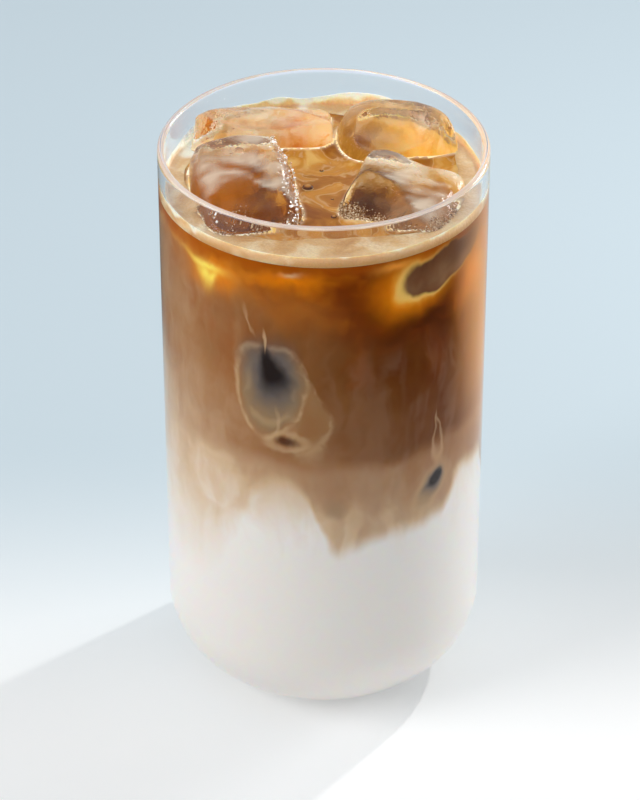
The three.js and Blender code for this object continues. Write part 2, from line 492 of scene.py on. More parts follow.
def wall_spot_group():
    """How near a point of the wall is to a spot on it: 1 in the middle, 0 on its outline, less outside.
    Angles are in degrees and lengths in millimetres, and the spot may lean and taper."""
    sockets = {"Position": "Vector", **{name: "Float" for name in WALL_SPOT_INPUTS}}
    group, given, out = new_group("wall_spot", sockets, {"Nearness": "Float"})
    turn = Field(given["Angle"]) * math.radians(-1)
    facing = add(
        group, "ShaderNodeVectorRotate", {"Vector": given["Position"], "Angle": turn}, rotation_type="Z_AXIS"
    )
    x, y, z = [Field(s) for s in add(group, "ShaderNodeSeparateXYZ", {0: facing.outputs[0]}).outputs]
    around = x.math("ARCTAN2", y * -1) * (INNER_RADIUS / MM)
    up = z - Field(given["Height"])
    lean = Field(given["Lean"]) * math.radians(1)
    across = around * lean.math("COSINE") + up * lean.math("SINE")
    along = (up * lean.math("COSINE") - around * lean.math("SINE")) / Field(given["Half Length"])
    width = (along * Field(given["Taper"]) + 1).math("MAXIMUM", 0.15) * Field(given["Half Width"])
    squareness = 2.3
    far = (across / width).math("ABSOLUTE") ** squareness + along.math("ABSOLUTE") ** squareness
    feed(out["Nearness"], far ** (1 / squareness) * -1 + 1)
    return group


def milk_plume_group():
    """How far a plume of milk rises at a point of the wall, in millimetres."""
    sockets = {"Position": "Vector", "Angle": "Float", "Rise": "Float", "Spread": "Float"}
    group, given, out = new_group("milk_plume", sockets, {"Lift": "Float"})
    turn = Field(given["Angle"]) * math.radians(-1)
    facing = add(
        group, "ShaderNodeVectorRotate", {"Vector": given["Position"], "Angle": turn}, rotation_type="Z_AXIS"
    )
    x, y, _ = [Field(s) for s in add(group, "ShaderNodeSeparateXYZ", {0: facing.outputs[0]}).outputs]
    away = x.math("ARCTAN2", y * -1) * math.degrees(1) / Field(given["Spread"])
    feed(out["Lift"], (away ** 4 * -1).math("EXPONENT") * Field(given["Rise"]))
    return group


def swirl_group():
    """Stirs a position in millimetres with slow curls and finer wisps, as milk is stirred into coffee."""
    sockets = {"Position": "Vector", "Curl": "Float", "Wisp": "Float"}
    group, given, out = new_group("swirl", sockets, {"Position": "Vector"})
    stirred = given["Position"]
    for reach, size in ((given["Curl"], 17.0), (given["Wisp"], 5.0)):
        offset = add(
            group,
            "ShaderNodeVectorMath",
            {0: grain(group, stirred, size, 2.0, (1, 1, 1.4), "Color"), 1: (0.5, 0.5, 0.5)},
            operation="SUBTRACT",
        )
        scaled = {0: offset.outputs[0], "Scale": Field(reach) * 4}
        push = add(group, "ShaderNodeVectorMath", scaled, operation="SCALE")
        moved = add(group, "ShaderNodeVectorMath", {0: stirred, 1: push.outputs[0]}, operation="ADD")
        stirred = moved.outputs[0]
    feed(out["Position"], stirred)
    return group


wall_spot = wall_spot_group()
milk_plume = milk_plume_group()
swirl = swirl_group()


def from_group(tree, group, inputs):
    """A node group placed in a tree with its inputs, and its first output."""
    made = add(tree, "ShaderNodeGroup", {}, node_tree=group)
    for name, value in inputs.items():
        feed(made.inputs[name], value)
    return made.outputs[0]


def in_millimetres(tree, position):
    """A position in metres as one in millimetres."""
    return add(tree, "ShaderNodeVectorMath", {0: position, "Scale": 1 / MM}, operation="SCALE").outputs[0]


def spot(tree, position, *values):
    """The nearness to a spot on the wall, whose values come in the order of WALL_SPOT_INPUTS."""
    return Field(from_group(tree, wall_spot, {"Position": position, **dict(zip(WALL_SPOT_INPUTS, values))}))


def blended(colours, share):
    """A colour ramp: colours by their place from 0 to 1."""
    made = add(share.tree, "ShaderNodeValToRGB", {0: share})
    ramp = made.color_ramp
    ramp.interpolation = "LINEAR"
    for place, colour in colours[1:-1]:
        ramp.elements.new(place).color = colour
    for element, (place, colour) in zip((ramp.elements[0], ramp.elements[-1]), (colours[0], colours[-1])):
        element.position = place
        element.color = colour
    return made.outputs[0]


MIX_LEVEL = 51.0
TAN_LEVEL = 76.0
MILK_PLUMES = (
    (-14.5, 13, 13),
    (-19, 8, 17.5),
    (36, 4.5, 25),
    (68, 12.5, 16),
    (112, 10, 19),
    (-140, 16, 17),
    (-62, -5, 24),
)
MILKINESS = (
    (0.0, paint(100, 46, 0)),
    (0.15, paint(118, 68, 24)),
    (0.3, paint(138, 90, 48)),
    (0.45, paint(164, 118, 78)),
    (0.6, paint(186, 150, 115)),
    (0.72, paint(208, 178, 144)),
    (0.85, paint(222, 204, 184)),
    (1.0, paint(233, 227, 221)),
)
CLEAR_COFFEE = (
    (0.0, paint(86, 34, 0)),
    (0.3, paint(122, 50, 1)),
    (0.55, paint(164, 86, 8)),
    (0.8, paint(200, 122, 28)),
    (1.0, paint(244, 178, 66)),
)
# Painted light scattered at the edges of ice that lies sunk against the glass.
SUNKEN_EDGE_LIGHT = paint(200, 168, 128)
SUNKEN_OLIVE = paint(152, 126, 94)
SUNKEN_TAN = paint(172, 134, 94)
SUNKEN_WARM = paint(150, 102, 58)
SUNKEN_GREY = paint(104, 96, 94)
SUNKEN_CORE = paint(40, 31, 29)
AMBER_GLOW = paint(244, 142, 8)
YELLOW_GLOW = paint(255, 230, 104)
WARM_GLOW = paint(184, 112, 40)
PALE_GLOW = paint(246, 206, 116)
UNDER_FOAM = paint(168, 80, 4)
WARM_COFFEE = paint(150, 82, 32)
MILKY_VEIL = paint(160, 124, 100)
ICE_IN_COFFEE = paint(122, 80, 50)
ICE_SHADOW = paint(84, 44, 20)
ICE_HAZE = paint(150, 112, 80)
PALE_WISP = paint(222, 186, 142)
EDGE_LIGHT = paint(255, 174, 70)


def lay(colour, nearness, soft, strength, over):
    """A colour laid over another inside a spot, with a soft edge."""
    return mixed(nearness.between(-soft, soft) * strength, colour, over)


def outline(nearness, width):
    """A soft line along the edge of a spot."""
    return (nearness.math("ABSOLUTE") / -width + 1).between(0.0, 1.0)


def glow(nearness, width):
    """A soft light round the middle of a spot, which fades out with distance."""
    far = (nearness * -1 + 1) / width
    return (far * far * -1).math("EXPONENT")


def latte_side():
    """The drink against the glass: white milk, tan plumes, streaky brown coffee, clear amber on top, and
    painted light and shade.
    """
    material, tree, shader, position = new_material("latte_side")
    place = in_millimetres(tree, position)
    stirred = from_group(tree, swirl, {"Position": place, "Curl": 2.2, "Wisp": 1.3})
    ruffled = from_group(tree, swirl, {"Position": place, "Curl": 0.9, "Wisp": 0.8})
    x = Field(add(tree, "ShaderNodeSeparateXYZ", {0: place}).outputs[0])
    height = Field(add(tree, "ShaderNodeSeparateXYZ", {0: stirred}).outputs[2])
    left = (x * -0.5 / (INNER_RADIUS / MM)) + 0.5
    streaks = grain(tree, stirred, 3.2, 3.0, (1, 1, 9)) - 0.5
    clouds = grain(tree, stirred, 13.0, 3.0) - 0.5
    sheets = grain(tree, stirred, 10.0, 1.0, (1, 1, 5)).between(0.5, 0.56)

    # Coffee with a little milk in it, browner to the right partly as painted shade, and the tan band where it
    # meets the milk.
    body = (left * 0.62 - 0.1).math("MAXIMUM", 0.0) + height.between(106.0, 80.0) * 0.12
    body = body + streaks * 0.12 + clouds * 0.26 + sheets * 0.03
    tan = left * 0.29 + 0.41 + height.between(74.0, 54.0) * 0.18 + streaks * 0.14 + clouds * 0.26
    for values in ((-42.5, 67.0, 7.2, 8.5, 0, 0), (20.5, 67.5, 6.8, 10.0, 0, 0)):
        sheet = spot(tree, stirred, *values)
        tan = tan + sheet.between(-0.1, 0.15) * 0.05 + outline(sheet, 0.3) * 0.03
    calm = from_group(tree, swirl, {"Position": place, "Curl": 1.4, "Wisp": 0.45})
    calm_height = Field(add(tree, "ShaderNodeSeparateXYZ", {0: calm}).outputs[2])
    border = calm_height - TAN_LEVEL + clouds * 5 + streaks * 4
    share = body + (tan - body) * border.between(3.0, -3.0)

    # The milk, which stands up in plumes: blurred on the left, crisp in front.
    milk_top = None
    for angle, rise, spread in MILK_PLUMES:
        inputs = {"Position": calm, "Angle": angle, "Rise": rise, "Spread": spread}
        lift = Field(from_group(tree, milk_plume, inputs))
        milk_top = lift if milk_top is None else milk_top + lift
    blur = left.between(0.66, 0.95) * 9 + 3.0
    in_milk = ((milk_top + MIX_LEVEL - calm_height) / blur).between(-1.0, 1.0)
    milk = height.between(78.0, 54.0) * 0.3 + 0.7 + streaks * height.between(44.0, 60.0) * 0.2
    share = share + (milk - share) * in_milk
    colour = blended(MILKINESS, share)
    warm = grain(tree, stirred, 9.0, 2.0, (1, 1, 2.5)).between(0.45, 0.75) * height.between(82.0, 104.0)
    colour = mixed(warm * 0.5, colour, WARM_COFFEE)
    columns = grain(tree, stirred, 6.0, 2.0, (1, 1, 8)).between(0.44, 0.62) * height.between(112.0, 98.0)
    colour = mixed(columns * (in_milk * -1 + 1) * left.between(0.75, 0.35) * 0.26, colour, MILKY_VEIL)

    # Clear coffee under the foam, with painted shade to the right of the middle and painted glows where light
    # comes through.
    clear_from = left * 26 + 94
    clear = ((height - clear_from + clouds * 12) / 14).between(0.0, 1.0)
    tone_and_light = left.between(0.1, 0.95) * 0.72 + 0.06 + (grain(tree, stirred, 8.0, 2.0, (1, 1, 0.6)) - 0.5) * 0.8
    colour = mixed(clear, colour, blended(CLEAR_COFFEE, tone_and_light))
    for values in ((-43, 121.5, 9, 5, 0, 0), (-12, 123.5, 10, 2.6, 4, 0), (66, 115, 8, 10, 0, 0)):
        colour = mixed(glow(spot(tree, stirred, *values), 0.8) * 0.75, colour, AMBER_GLOW)
    colour = mixed(glow(spot(tree, stirred, -10, 116.5, 10, 4, 0, 0), 0.8) * 0.6, colour, WARM_GLOW)
    bright_spots = (
        (-46, 123.4, 5.5, 1.0, -8, 0),
        (-46.5, 121, 1.8, 3.2, 20, 0),
        (-43, 120.4, 1.3, 2.4, -30, 0),
    )
    for values in bright_spots:
        colour = mixed(glow(spot(tree, ruffled, *values), 0.9) * 0.85, colour, YELLOW_GLOW)
    colour = mixed(glow(spot(tree, ruffled, -11, 125.8, 2.6, 0.8, 8, 0), 0.8) * 0.7, colour, PALE_WISP)
    colour = mixed(height.between(124.6, 127.4) * 0.7, colour, UNDER_FOAM)

    # The block in front on the right, seen through the coffee with light ringing its lower end.
    block = spot(tree, ruffled, 47.8, 122.8, 4.7, 12.8, 99.5, 0.28)
    ringed = glow(spot(tree, ruffled, 30.0, 119.0, 11.0, 8.0, 0, 0), 1.0)
    colour = mixed((block * -1).between(1.1, 0.0) * ringed, colour, AMBER_GLOW)
    colour = mixed((block * -1).between(0.3, 0.0) * ringed * 0.35, colour, YELLOW_GLOW)
    colour = mixed(glow(spot(tree, ruffled, 26.0, 126.4, 5.5, 1.4, 0, 0), 0.8) * 0.7, colour, EDGE_LIGHT)
    greys = ((0.0, ICE_SHADOW), (0.5, ICE_IN_COFFEE), (1.0, ICE_HAZE))
    grey = blended(greys, block * 0.6 + clouds * 1.6 + 0.5)
    colour = mixed(block.between(-0.06, 0.14), colour, grey)
    colour = mixed(outline(block, 0.16) * ringed * 0.8, colour, PALE_GLOW)
    colour = lay(colour, spot(tree, ruffled, 60.0, 125.2, 2.6, 7.5, 99.5, 0.1), 0.8, 0.8, ICE_SHADOW)

    # Light from behind makes the drink bright along the right side.
    edge = spot(tree, place, 96, 104, 33, 54, 0, 0)
    colour = mixed(edge.between(0.05, 0.75) * (in_milk * -1 + 1) * 0.8, colour, EDGE_LIGHT)

    # Ice that lies sunk against the glass: a shield-shaped end, a small dark one and a faint one, edged with
    # painted light.
    broken = grain(tree, stirred, 5.0, 2.0).between(0.35, 0.6)
    lobe = spot(tree, stirred, -7.0, 92.0, 4.0, 12.5, 9, -0.25)
    colour = lay(colour, lobe, 0.4, 0.55, SUNKEN_TAN)
    colour = lay(colour, spot(tree, stirred, -5.5, 86.5, 2.6, 4.2, 8, 0), 1.0, 0.6, SUNKEN_WARM)
    colour = mixed(outline(lobe, 0.3) * broken * 0.45, colour, SUNKEN_EDGE_LIGHT)
    shield = spot(tree, ruffled, -19.3, 95, 8.0, 12.0, -3, 0.25)
    colour = mixed(outline(shield, 0.12) * broken.spread(0.2, 0.75), colour, SUNKEN_EDGE_LIGHT)
    colour = lay(colour, shield - 0.12, 0.16, 0.9, SUNKEN_OLIVE)
    colour = mixed(outline(shield - 0.32, 0.14) * broken * 0.35, colour, SUNKEN_EDGE_LIGHT)
    colour = lay(colour, spot(tree, ruffled, -18.6, 99.5, 6.0, 8.0, 8, 0.1), 0.55, 0.95, SUNKEN_GREY)
    colour = lay(colour, spot(tree, ruffled, -18.8, 101.4, 2.7, 5.6, 16, -0.6), 0.55, 1.0, SUNKEN_CORE)
    colour = lay(colour, spot(tree, ruffled, -21.2, 108.4, 0.35, 2.4, 6, 0), 0.6, 0.6, PALE_WISP)
    colour = lay(colour, spot(tree, ruffled, -16.8, 86.5, 0.5, 3.6, 0, 0), 0.7, 0.45, SUNKEN_EDGE_LIGHT)
    colour = lay(colour, spot(tree, stirred, -27.5, 113.0, 0.4, 2.6, 25, 0), 0.9, 0.36, PALE_WISP)
    colour = mixed(outline(spot(tree, ruffled, -13.2, 82.2, 4.6, 2.0, 0, 0), 0.5) * 0.5, colour, SUNKEN_EDGE_LIGHT)
    colour = lay(colour, spot(tree, ruffled, -13.2, 82.2, 2.6, 0.9, 0, 0), 0.6, 0.9, ICE_SHADOW)
    small = spot(tree, ruffled, 42.0, 63.8, 3.8, 7.2, -37, 0.1)
    colour = lay(colour, small, 0.3, 0.5, SUNKEN_EDGE_LIGHT)
    colour = lay(colour, small - 0.35, 0.3, 0.6, SUNKEN_OLIVE)
    colour = lay(colour, spot(tree, ruffled, 44.0, 65.3, 2.4, 3.3, -32, 0), 0.55, 0.9, SUNKEN_GREY)
    colour = lay(colour, spot(tree, ruffled, 44.4, 65.8, 1.6, 2.5, -32, 0), 0.35, 1.0, SUNKEN_CORE)
    colour = mixed(outline(spot(tree, ruffled, 45.3, 78.0, 0.9, 5.6, 3, -0.6), 0.6) * 0.35, colour, PALE_WISP)
    colour = lay(colour, spot(tree, ruffled, 4.5, 64.2, 2.0, 2.5, 0, 0), 0.7, 0.5, SUNKEN_OLIVE)

    feed(shader.inputs["Base Color"], colour)
    shader.inputs["Subsurface Weight"].default_value = 1.0
    shader.inputs["Subsurface Radius"].default_value = (1.0, 0.55, 0.3)
    shader.inputs["Subsurface Scale"].default_value = 0.9 * MM
    shader.inputs["Specular IOR Level"].default_value = 0.0
    shader.inputs["Roughness"].default_value = 0.5
    return material


def crema_top():
    """The open surface: thin orange crema with paler swirls, wet, with cream along the ice that is partly
    painted highlight.
    """
    material, tree, shader, position = new_material("crema_top")
    place = in_millimetres(tree, position)
    stirred = from_group(tree, swirl, {"Position": place, "Curl": 7.0, "Wisp": 2.5})
    bands = grain(tree, stirred, 11.0, 3.0)
    colour = blended(
        (
            (0.0, paint(148, 82, 14)),
            (0.4, paint(182, 116, 34)),
            (0.7, paint(206, 140, 52)),
            (1.0, paint(230, 184, 108)),
        ),
        bands.between(0.25, 0.78),
    )
    lines = (bands - 0.52).math("ABSOLUTE").between(0.035, 0.0)
    colour = mixed(lines * 0.35, colour, paint(236, 202, 150))
    # Cream along the ice, partly a painted highlight of the ice's bright edges.
    cream_and_highlight = Field(add(tree, "ShaderNodeAttribute", {}, attribute_name="shore").outputs["Fac"])
    colour = mixed(cream_and_highlight.between(0.3, 0.9) * 0.6, colour, paint(244, 222, 184))
    feed(shader.inputs["Base Color"], colour)
    shader.inputs["Subsurface Weight"].default_value = 1.0
    shader.inputs["Subsurface Radius"].default_value = (1.0, 0.5, 0.2)
    shader.inputs["Subsurface Scale"].default_value = 1.2 * MM
    shader.inputs["Roughness"].default_value = 0.12
    shader.inputs["IOR"].default_value = 1.34
    return material


# Painted light and shade: places behind the ice that are lighter or darker, in millimetres, each with its
# reach, share and colour.
DEPTH_LIGHT_AND_SHADE = (
    ((19, 26, 118), 9, 1.0, paint(255, 220, 112)),
    ((6, 23, 120), 6, 0.85, paint(124, 62, 14)),
    ((-25, 8, 115), 8, 0.85, paint(216, 140, 34)),
    ((-12, 8, 114), 6, 0.7, paint(92, 48, 18)),
    ((9, 4, 117), 7, 0.9, paint(84, 42, 18)),
    ((22, 4, 114), 8, 0.6, paint(226, 192, 148)),
    ((-18, 28, 123), 9, 0.6, paint(242, 224, 196)),
    ((-2, 28, 124), 5, 0.8, paint(214, 116, 26)),
)


def amber_depth():
    """The coffee behind the ice: creamy near the surface, amber and then brown further down. It has a little
    painted glow, for the light that comes to it through the drink from all sides."""
    material, tree, shader, position = new_material("amber_depth")
    place = in_millimetres(tree, position)
    stirred = from_group(tree, swirl, {"Position": place, "Curl": 3.5, "Wisp": 2.0})
    x, y, height = [Field(s) for s in add(tree, "ShaderNodeSeparateXYZ", {0: stirred}).outputs]
    cloud = grain(tree, stirred, 5.0, 3.0) - 0.5
    depth = (height - 109.0) / 22 + cloud * 0.9
    colour = blended(
        (
            (0.0, paint(98, 50, 6)),
            (0.35, paint(156, 90, 16)),
            (0.6, paint(202, 142, 46)),
            (0.78, paint(230, 192, 118)),
            (1.0, paint(248, 234, 204)),
        ),
        depth,
    )
    # Painted light: warmer and brighter towards the back on the right, where light comes through the drink.
    sunny = (x + y * 1.1).between(14.0, 46.0)
    colour = mixed(sunny * 0.3, colour, paint(250, 196, 76))
    for centre, reach, share, tint in DEPTH_LIGHT_AND_SHADE:
        far = add(tree, "ShaderNodeVectorMath", {0: stirred, 1: centre}, operation="DISTANCE").outputs["Value"]
        near = (Field(far) / reach) ** 2 * -1
        colour = mixed(near.math("EXPONENT") * share, colour, tint)
    feed(shader.inputs["Base Color"], colour)
    # Painted glow: the colour is also given off as light.
    feed(shader.inputs["Emission Color"], colour)
    shader.inputs["Emission Strength"].default_value = 0.22
    shader.inputs["Subsurface Weight"].default_value = 1.0
    shader.inputs["Subsurface Radius"].default_value = (1.0, 0.65, 0.35)
    shader.inputs["Subsurface Scale"].default_value = 1.5 * MM
    shader.inputs["Specular IOR Level"].default_value = 0.0
    return material


SIDE, TOP, DEPTH = range(3)
for finish in (latte_side(), crema_top(), amber_depth()):
    drink.data.materials.append(finish)
for face in drink.data.polygons:
    middle = Vector(face.center)
    if ice_tree.find_nearest(middle)[3] < 1.5 * ICE_BITE:
        face.material_index = DEPTH
    elif face.normal.z > 0.5 and middle.z > LEVEL - 2 * MM:
        face.material_index = TOP
    else:
        face.material_index = SIDE
drink.data.set_sharp_from_angle(angle=math.radians(40))


# The foam
# A ragged ring of fine tan milk foam that floats on the coffee and clings to the wall, a little higher
# at the back, where it has left a film.
FOAM_RADIUS = INNER_RADIUS + 0.12 * MM
FOAM_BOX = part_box("foam")
FOAM_UNDER = FOAM_BOX[0].z + 0.4 * MM
FOAM_TOP = FOAM_BOX[1].z
FOAM_LEAST = 5.5 * MM
FOAM_FRONT = 4.5 * MM
FOAM_WAVER = 1.2 * MM
FOAM_LOBES = 5
FOAM_STEPS = 360
FILM_RISE = 2.6 * MM
FILM_DEPTH = 0.25 * MM


def foam_inner(angle):
    """How far from the axis the foam's ragged inner edge lies."""
    front = max(0, math.cos(angle)) ** 2
    ragged = noise.noise(Vector((math.sin(angle), math.cos(angle), 0)) * 5) * 0.9 * MM
    waver = FOAM_WAVER * math.sin(FOAM_LOBES * angle + 1)
    return FOAM_RADIUS - FOAM_LEAST - FOAM_FRONT * front - waver + ragged


def film_top(angle):
    """How far the film climbs the wall above the foam."""
    back = (0.5 - 0.5 * math.cos(angle)) ** 2
    ragged = 0.6 + noise.noise(Vector((math.sin(angle), math.cos(angle), 3)) * 3.5)
    return FILM_RISE * back * max(0, ragged) + 0.15 * MM


foam_outline = (
    (0.0, LEVEL - 0.5 * MM),
    (1.0, FOAM_UNDER),
    (1.0, FOAM_TOP),
    (0.97, FOAM_TOP - 0.1 * MM),
    (0.93, LEVEL + 0.75 * MM),
    (0.85, LEVEL + 0.55 * MM),
    (0.7, LEVEL + 0.45 * MM),
    (0.5, LEVEL + 0.4 * MM),
    (0.3, LEVEL + 0.38 * MM),
    (0.12, LEVEL + 0.3 * MM),
    (0.03, LEVEL + 0.15 * MM),
    (0.0, LEVEL - 0.5 * MM),
)
foam_mesh = turned([(1 + share, height) for share, height in foam_outline], FOAM_STEPS)
for vert in foam_mesh.verts:
    angle = math.atan2(vert.co.x, -vert.co.y)
    share = vert.co.xy.length - 1
    inner = foam_inner(angle)
    radius = inner + (FOAM_RADIUS - inner) * share
    height = vert.co.z
    if height > FOAM_TOP - 0.2 * MM:
        height += film_top(angle)
        radius = FOAM_RADIUS if share > 0.99 else INNER_RADIUS - FILM_DEPTH
    vert.co = Vector((radius * math.sin(angle), -radius * math.cos(angle), height))
foam = piece("foam_ring", foam_mesh, "foam", "foam")
cut_round_ice(foam)


def milk_foam():
    """Fine foam: cream and tan, with tiny bubbles that catch the light."""
    material, tree, shader, position = new_material("milk_foam")
    place = in_millimetres(tree, position)
    stirred = from_group(tree, swirl, {"Position": place, "Curl": 3.0, "Wisp": 1.0})
    patches = grain(tree, stirred, 8.0, 3.0)
    colour = blended(
        ((0.0, paint(204, 150, 88)), (0.5, paint(224, 180, 122)), (1.0, paint(242, 218, 180))),
        patches.between(0.3, 0.72),
    )
    bubbles = add(tree, "ShaderNodeTexVoronoi", {"Vector": place, "Scale": 1.6})
    cells = Field(bubbles.outputs["Distance"])
    colour = mixed(cells.between(0.35, 0.8) * 0.25, colour, paint(176, 120, 62))
    x, y, height = [Field(s) for s in add(tree, "ShaderNodeSeparateXYZ", {0: stirred}).outputs]
    reach = (x * x + y * y) ** 0.5
    colour = mixed(reach.between(31.0, 35.5) * 0.5, colour, paint(244, 218, 174))
    wall_height = Field(add(tree, "ShaderNodeSeparateXYZ", {0: place}).outputs[2])
    face = wall_height.between(131.0, 128.6) * reach.between(34.5, 35.5)
    colour = mixed(face * 0.85, colour, paint(208, 150, 82))
    colour = mixed(height.between(130.8, 132.2) * 0.9, colour, paint(254, 246, 230))
    feed(shader.inputs["Base Color"], colour)
    feed(shader.inputs["Alpha"], (height + (patches - 0.5) * 4).between(135.5, 132.4).spread(0.15, 1.0))
    shader.inputs["Subsurface Weight"].default_value = 1.0
    shader.inputs["Subsurface Radius"].default_value = (1.0, 0.7, 0.45)
    shader.inputs["Subsurface Scale"].default_value = 1.2 * MM
    shader.inputs["Roughness"].default_value = 0.35
    roughen(tree, shader, cells * -1, 0.12 * MM)
    return material


foam.data.materials.append(milk_foam())
foam.data.set_sharp_from_angle(angle=math.radians(50))


# The bubbles
# Air bubbles blown in the pour: four on the open coffee, and froth of fine ones that clings to the front
# of the ice. Three pockets of air are frozen into the front left block.
AIR_POCKETS = ((-19.2, 3.7, 134.4, 1.3), (-17.7, 6.5, 135.2, 0.6), (-20.9, 2.2, 134.6, 0.5))
BIG_BUBBLES = ((-3.6, -3.5, 1.3), (2.3, -16.6, 0.75), (-0.5, 4.5, 0.5), (1.9, -8.5, 0.35))
FROTH = {"ice_front_left": 2600, "ice_front_right": 4200}
FROTH_BAND = (LEVEL + 0.2 * MM, LEVEL + 3.0 * MM)
FROTH_FRONT = -13 * MM
FROTH_RADII = (0.12 * MM, 0.34 * MM)
FROTH_STRAY = 0.5 * MM
FROTH_PATCH = 5 * MM


def ball_template(detail):
    """The points and faces of a round ball of radius 1."""
    bm = bmesh.new()
    bmesh.ops.create_icosphere(bm, subdivisions=detail, radius=1)
    points = [vert.co.copy() for vert in bm.verts]
    faces = [[vert.index for vert in face.verts] for face in bm.faces]
    bm.free()
    return points, faces


def add_ball(bm, template, centre, radius):
    """A small ball in a mesh, with one radius or three, and its new points."""
    points, faces = template
    verts = [bm.verts.new(centre + point * radius) for point in points]
    for face in faces:
        bm.faces.new([verts[i] for i in face])
    return verts


def water_skin():
    """The clear skin of a bubble."""
    material, tree, shader, _ = new_material("bubble_skin")
    shader.inputs["Base Color"].default_value = paint(252, 244, 232)
    shader.inputs["Roughness"].default_value = 0.0
    shader.inputs["IOR"].default_value = 1.33
    shader.inputs["Transmission Weight"].default_value = 1.0
    let_light_through(tree, shader)
    return material


def bubble_dome():
    """A bubble on the coffee, painted: brown on top, a dark ring of painted shade and a pale edge of painted
    highlight.
    """
    material, tree, shader, _ = new_material("bubble_dome")
    crown = Field(add(tree, "ShaderNodeAttribute", {}, attribute_name="crown").outputs["Fac"])
    # Painted shade and highlight that stand in for the look of a clear bubble skin.
    colour = blended(
        (
            (0.0, paint(240, 214, 172)),
            (0.12, paint(226, 188, 136)),
            (0.3, paint(84, 42, 14)),
            (0.72, paint(96, 52, 20)),
            (0.86, paint(178, 112, 42)),
            (1.0, paint(200, 138, 64)),
        ),
        crown,
    )
    feed(shader.inputs["Base Color"], colour)
    shader.inputs["Roughness"].default_value = 0.06
    return material


def fine_froth():
    """Fine bubbles: brown gaps and pale glints side by side."""
    material, tree, shader, position = new_material("fine_froth")
    place = in_millimetres(tree, position)
    glint = grain(tree, place, 0.5, 1.0)
    colour = blended(
        ((0.0, paint(120, 78, 44)), (0.5, paint(184, 142, 98)), (1.0, paint(236, 212, 178))),
        glint.between(0.25, 0.75),
    )
    feed(shader.inputs["Base Color"], colour)
    shader.inputs["Roughness"].default_value = 0.2
    return material


skin = water_skin()
bubble_mesh = bmesh.new()
crown_height = bubble_mesh.verts.layers.float.new("crown")
round_ball = ball_template(4)
for x, y, radius in BIG_BUBBLES:
    flattened = Vector((radius, radius, radius * 0.6)) * MM
    dome = add_ball(bubble_mesh, round_ball, Vector((x * MM, y * MM, LEVEL + 0.1 * radius * MM)), flattened)
    for vert, point in zip(dome, round_ball[0]):
        vert[crown_height] = point.z
bubbles = piece("bubbles", bubble_mesh, "foam")
bubbles.data.materials.append(bubble_dome())
pocket_mesh = bmesh.new()
for x, y, z, radius in AIR_POCKETS:
    add_ball(pocket_mesh, round_ball, Vector((x, y, z)) * MM, radius * MM)
pockets = piece("air_pockets", pocket_mesh, "ice")
pockets.data.materials.append(skin)

froth_mesh = bmesh.new()
small_ball = ball_template(1)
chance = random.Random(7)
low, high = FROTH_BAND
for ice_node, amount in FROTH.items():
    block = ice_pieces[ICE_NODES.index(ice_node)]
    corners = [v for v in block.data.vertices if low < v.co.z < high and v.co.y < FROTH_FRONT]
    for _ in range(amount):
        vert = chance.choice(corners)
        up = (vert.co.z - low) / (high - low)
        gathered = 0.7 + noise.noise(vert.co / FROTH_PATCH) - 1.2 * up
        if chance.random() < gathered:
            radius = chance.uniform(*FROTH_RADII) * chance.uniform(0.4, 1) * (1 - 0.4 * up)
            stray = Vector(chance.uniform(-1, 1) for _ in range(3)) * FROTH_STRAY
            stray -= vert.normal * stray.dot(vert.normal)
            add_ball(froth_mesh, small_ball, vert.co + stray + vert.normal * radius * 0.7, radius)
froth = piece("froth", froth_mesh, "foam")
froth.data.materials.append(fine_froth())


# The sparkle
# Small wet crystals that stand on the crushed right side of the front left block: clear ones, and white
# ones of crushed ice that glow with painted sparkle.
CLEAR_CRYSTALS = 150
WHITE_CRYSTALS = 130
CLEAR_RADII = (0.15 * MM, 0.5 * MM)
WHITE_RADII = (0.06 * MM, 0.42 * MM)


def crystal_mesh(corners, amount, radii):
    """Little uneven lumps on some corners of a block."""
    bm = bmesh.new()
    for _ in range(amount):
        vert = chance.choice(corners)
        radius = Vector(chance.uniform(*radii) for _ in range(3))
        stray = Vector(chance.uniform(-1, 1) for _ in range(3)) * FROTH_STRAY
        add_ball(bm, small_ball, vert.co + stray - vert.normal * radius.length * 0.1, radius)
    return bm


def crushed_ice_sparkle():
    """Wet crushed ice: white, with a painted glow for the light that is caught in it."""
    material, _, shader, _ = new_material("crushed_ice_sparkle")
    shader.inputs["Base Color"].default_value = paint(252, 252, 252)
    shader.inputs["Roughness"].default_value = 0.12
    # Painted sparkle: the crushed ice glows a little though it is no lamp.
    shader.inputs["Emission Color"].default_value = paint(255, 252, 248)
    shader.inputs["Emission Strength"].default_value = 0.3
    return material


crushed = [v for v in ice_pieces[0].data.vertices if v.normal.x > 0.3 and v.co.z > LEVEL + 0.5 * MM]
crystals = piece("ice_crystals", crystal_mesh(crushed, CLEAR_CRYSTALS, CLEAR_RADII), "ice")
crystals.data.materials.append(ice_material)
white_crystals = piece("white_crystals", crystal_mesh(crushed, WHITE_CRYSTALS, WHITE_RADII), "ice")
white_crystals.data.materials.append(crushed_ice_sparkle())


# The floor
# A plain pale sheet under the glass that runs far past the picture, with painted shade further back.
FLOOR_HALF = 3.0
FLOOR_NEAR = paint(255, 255, 255)
FLOOR_FAR_SHADE = paint(199, 213, 221)
FLOOR_MIRRORED = paint(84, 88, 92)
floor_mesh = bmesh.new()
bmesh.ops.create_grid(floor_mesh, x_segments=1, y_segments=1, size=FLOOR_HALF)
floor_data = bpy.data.meshes.new("floor")
floor_mesh.to_mesh(floor_data)
floor_mesh.free()
floor = bpy.data.objects.new("floor", floor_data)
bpy.context.scene.collection.objects.link(floor)
floor_material, floor_tree, floor_shader, floor_position = new_material("pale_floor")
floor_split = add(floor_tree, "ShaderNodeSeparateXYZ", {0: floor_position}).outputs
floor_right, floor_back = Field(floor_split[0]), Field(floor_split[1])
